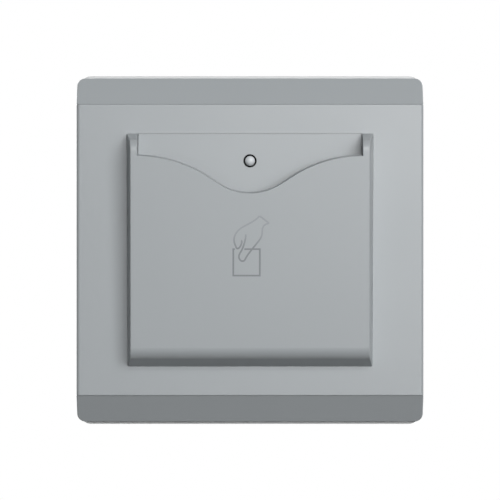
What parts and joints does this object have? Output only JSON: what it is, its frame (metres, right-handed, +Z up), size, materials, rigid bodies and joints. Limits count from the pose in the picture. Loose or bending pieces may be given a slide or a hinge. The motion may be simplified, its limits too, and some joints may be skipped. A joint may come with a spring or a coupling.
{
  "type": "hotel key card switch",
  "caption": "Square wall plate with two sloping bands, a raised card pocket with a wavy edge, an indicator lens, and a card lever that works a switch.",
  "frame": {"origin": "middle of the two wall screw slots, on the wall's plane at the plate's back face", "axes": "+X to the right seen from the room, +Y into the wall, +Z up"},
  "size_m": [0.086, 0.0476, 0.0868],
  "materials": {
    "satin_grey": "fine satin moulding",
    "light_grey": "plain light moulding",
    "frosted_lens": "frosted clear lens",
    "white_nylon": "natural nylon",
    "red_plastic": "gloss moulding",
    "bright_steel": "zinc plated",
    "black_plastic": "matt moulding",
    "relay_blue": "gloss moulding",
    "winding": "enamelled winding, plain",
    "brass": "plain brass",
    "board_green": "solder resist",
    "capacitor_yellow": "moulded case",
    "varistor_blue": "dipped coating",
    "resistor_grey": "cement coating"
  },
  "bodies": {
    "body": {"outer_frame": "satin_grey", "centre_panel": "satin_grey", "pocket_cover": "satin_grey", "card_guide": "satin_grey", "mounting_base": "light_grey", "light_pipe": "frosted_lens", "indicator_lamp": "frosted_lens", "lever_pin": "bright_steel", "lever_spring": "bright_steel", "guide_screws": "bright_steel", "board_screws": "bright_steel", "housing_screws": "bright_steel", "terminal_screws": "bright_steel", "switch_case": "black_plastic", "switch_lid": "black_plastic", "rear_housing": "black_plastic", "terminal_block": "black_plastic", "relay_case": "relay_blue", "relay_base": "relay_blue", "relay_coil": "winding", "common_terminal": "brass", "open_terminal": "brass", "closed_terminal": "brass", "terminal_cages": "brass", "circuit_board": "board_green", "film_capacitor": "capacitor_yellow", "smoothing_capacitor": "black_plastic", "varistor": "varistor_blue", "rectifier_diodes": "black_plastic", "zener_diode": "black_plastic", "transistor": "black_plastic", "dropper_resistor": "resistor_grey"},
    "lever": {"card_lever": "white_nylon"},
    "plunger": {"switch_plunger": "red_plastic"},
    "blade": {"switch_blade": "brass"}
  },
  "joints": [
    {"name": "lever_hinge", "type": "hinge", "parent": "body", "child": "lever", "pos_m": [0, -0.0044, 0.001], "axis": [1, 0, 0], "range_deg": [0, 17], "stiffness_Nm_per_rad": 0.012, "springref_deg": -20.05, "deforming": ["lever_spring"]},
    {"name": "plunger_slide", "type": "slide", "parent": "body", "child": "plunger", "axis": [0, 1, 0], "range_m": [0, 0.00085]},
    {"name": "blade_hinge", "type": "hinge", "parent": "body", "child": "blade", "pos_m": [0, 0.00395, 0.0029], "axis": [1, 0, 0], "range_deg": [0, 4.44], "stiffness_Nm_per_rad": 0.01, "springref_deg": -5.73}
  ],
  "couplings": [
    {"joint": "plunger_slide", "follows": "lever_hinge", "m_per_rad": 0.0028645},
    {"joint": "blade_hinge", "follows": "lever_hinge", "ratio": 0.26115}
  ]
}
